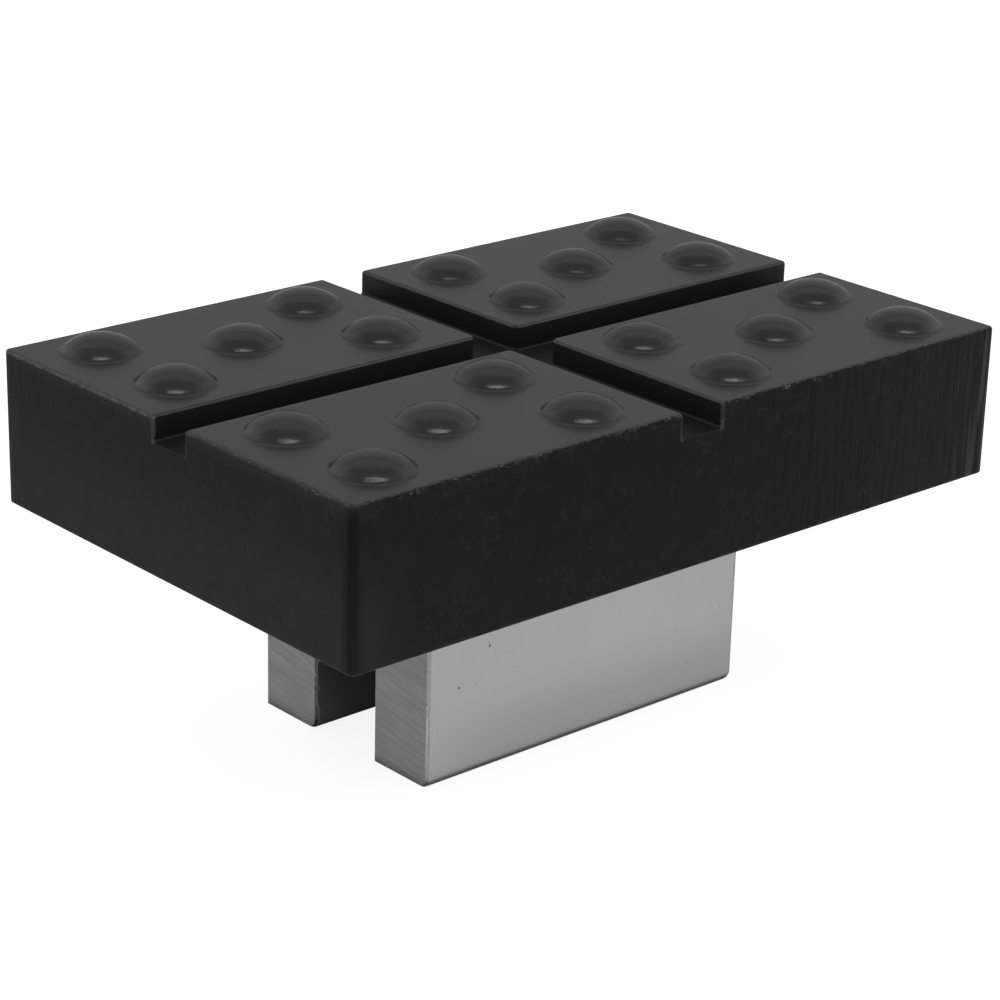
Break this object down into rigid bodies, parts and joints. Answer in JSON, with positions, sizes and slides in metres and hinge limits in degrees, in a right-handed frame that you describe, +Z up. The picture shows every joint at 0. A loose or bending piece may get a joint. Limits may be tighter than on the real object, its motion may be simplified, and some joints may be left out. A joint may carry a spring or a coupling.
{
  "type": "jacking beam rubber pad",
  "caption": "Rectangular rubber lifting pad with crossing grooves and round studs on top, bonded onto flat steel bars that drop into the jacking beam of a vehicle lift.",
  "frame": {"origin": "under the middle of the rubber block, level with the lower faces of the bars", "axes": "+X along the block and its bars, +Y across the block towards the rear bar, +Z up to the studs"},
  "size_m": [0.16, 0.103, 0.0772],
  "materials": {
    "black_rubber": "satin moulded top, dull scuffed sides",
    "bar_steel": "bright drawn flats with sawn ends"
  },
  "bodies": {
    "root": {"rubber_pad": "black_rubber", "front_bar": "bar_steel", "rear_bar": "bar_steel"}
  },
  "joints": []
}
